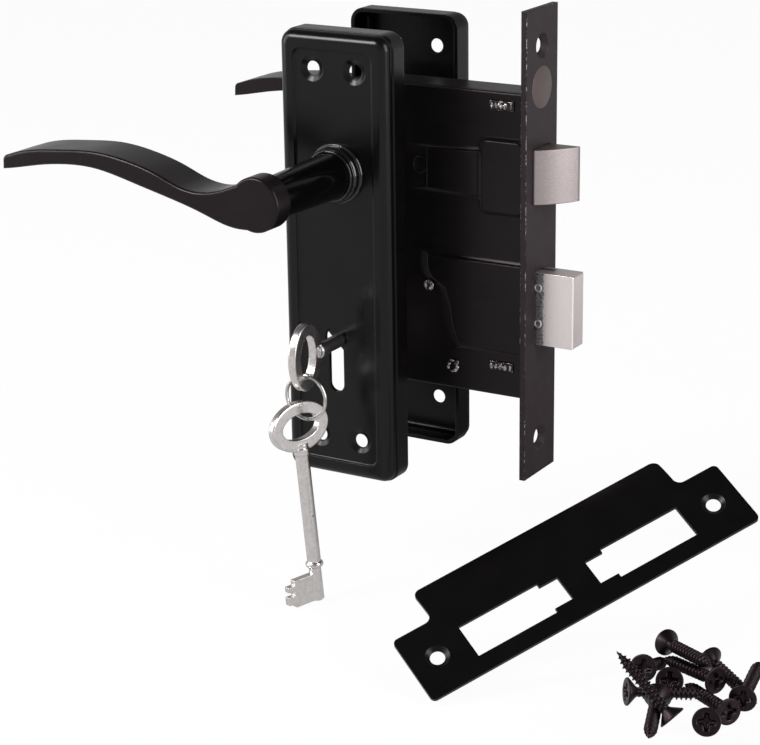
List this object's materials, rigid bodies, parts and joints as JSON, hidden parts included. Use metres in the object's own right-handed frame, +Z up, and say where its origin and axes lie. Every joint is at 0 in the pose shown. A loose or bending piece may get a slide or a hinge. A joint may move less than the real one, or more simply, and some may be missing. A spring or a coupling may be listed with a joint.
{
  "type": "mortice lever lockset",
  "caption": "Mortice sashlock with two lever handles on long plates, key with spare on a ring, strike plate and screws.",
  "frame": {"origin": "centre of the forend's outer face, midway between its two screw holes", "axes": "+X the way both bolts throw, -Y the side of the front plate, +Z up"},
  "size_m": [0.2698, 0.1889, 0.1963],
  "materials": {
    "black_coat": "satin",
    "black_gloss": "gloss",
    "black_case": "satin",
    "charcoal_coat": "satin",
    "bolt_zinc": "satin",
    "plain_steel": "satin",
    "spring_steel": "satin",
    "lever_brass": "satin",
    "key_nickel": "satin",
    "ring_nickel": "gloss",
    "dark_screw": "satin"
  },
  "bodies": {
    "lock_case": {"forend": "charcoal_coat", "case_tray": "black_case", "case_cap": "black_case", "latch_post": "plain_steel", "guide_pin": "plain_steel", "lever_pivot": "plain_steel", "front_plate": "black_coat", "rear_plate": "black_coat", "front_collar": "black_gloss", "rear_collar": "black_gloss", "strike_plate": "black_coat", "wood_screws": "dark_screw"},
    "handle": {"front_lever": "black_coat", "rear_lever": "black_coat", "spindle": "plain_steel", "follower": "plain_steel", "follower_spring": "spring_steel", "circlips": "spring_steel", "grub_screws": "dark_screw"},
    "latch": {"latch_head": "bolt_zinc", "latch_tail": "plain_steel", "latch_spring": "spring_steel"},
    "deadbolt": {"deadbolt_head": "bolt_zinc", "bolt_tail": "plain_steel", "bolt_rivets": "bolt_zinc", "stump": "plain_steel"},
    "turning_key": {"key": "key_nickel"},
    "ring": {"key_ring": "ring_nickel"},
    "hanging_key": {"spare_key": "key_nickel"},
    "detainer_1": {"lever_1": "lever_brass", "lever_spring_1": "spring_steel"},
    "detainer_2": {"lever_2": "lever_brass", "lever_spring_2": "spring_steel"},
    "detainer_3": {"lever_3": "lever_brass", "lever_spring_3": "spring_steel"}
  },
  "joints": [
    {"name": "handle_turn", "type": "hinge", "parent": "lock_case", "child": "handle", "pos_m": [-0.057, -0.00755, 0.026], "axis": [0, -1, 0], "range_deg": [0, 45], "stiffness_Nm_per_rad": 0.9, "springref_deg": -20.05, "deforming": ["follower_spring"]},
    {"name": "latch_slide", "type": "slide", "parent": "lock_case", "child": "latch", "axis": [1, 0, 0], "range_m": [-0.0112, 0], "deforming": ["latch_spring"]},
    {"name": "key_turn", "type": "hinge", "parent": "lock_case", "child": "turning_key", "pos_m": [-0.057, -0.0313, -0.031], "axis": [0, -1, 0], "range_deg": [-4, 124]},
    {"name": "deadbolt_slide", "type": "slide", "parent": "lock_case", "child": "deadbolt", "axis": [1, 0, 0], "range_m": [-0.014, 0]},
    {"name": "ring_turn", "type": "hinge", "parent": "turning_key", "child": "ring", "pos_m": [-0.057, -0.0575, -0.0405], "axis": [0, -1, 0], "range_deg": [-124, 4]},
    {"name": "spare_swing", "type": "hinge", "parent": "ring", "child": "hanging_key", "pos_m": [-0.0594, -0.0575, -0.052], "axis": [1, 0, 0], "range_deg": [-10, 8]},
    {"name": "detainer_1_turn", "type": "hinge", "parent": "lock_case", "child": "detainer_1", "pos_m": [-0.0293, -0.00465, -0.044], "axis": [0, 1, 0], "range_deg": [-0.4, 8.4], "deforming": ["lever_spring_1"]},
    {"name": "detainer_2_turn", "type": "hinge", "parent": "lock_case", "child": "detainer_2", "pos_m": [-0.0293, -0.00285, -0.044], "axis": [0, 1, 0], "range_deg": [-0.4, 8.4], "deforming": ["lever_spring_2"]},
    {"name": "detainer_3_turn", "type": "hinge", "parent": "lock_case", "child": "detainer_3", "pos_m": [-0.0293, -0.00105, -0.044], "axis": [0, 1, 0], "range_deg": [-0.4, 8.4], "deforming": ["lever_spring_3"]}
  ],
  "couplings": [
    {"joint": "latch_slide", "follows": "handle_turn", "m_per_rad": -0.014},
    {"joint": "key_turn", "follows": "deadbolt_slide", "rad_per_m": -149.6},
    {"joint": "ring_turn", "follows": "deadbolt_slide", "rad_per_m": 149.6},
    {"joint": "detainer_1_turn", "follows": "deadbolt_slide", "rad_per_m": -9.9733},
    {"joint": "detainer_2_turn", "follows": "deadbolt_slide", "rad_per_m": -9.9733},
    {"joint": "detainer_3_turn", "follows": "deadbolt_slide", "rad_per_m": -9.9733}
  ]
}
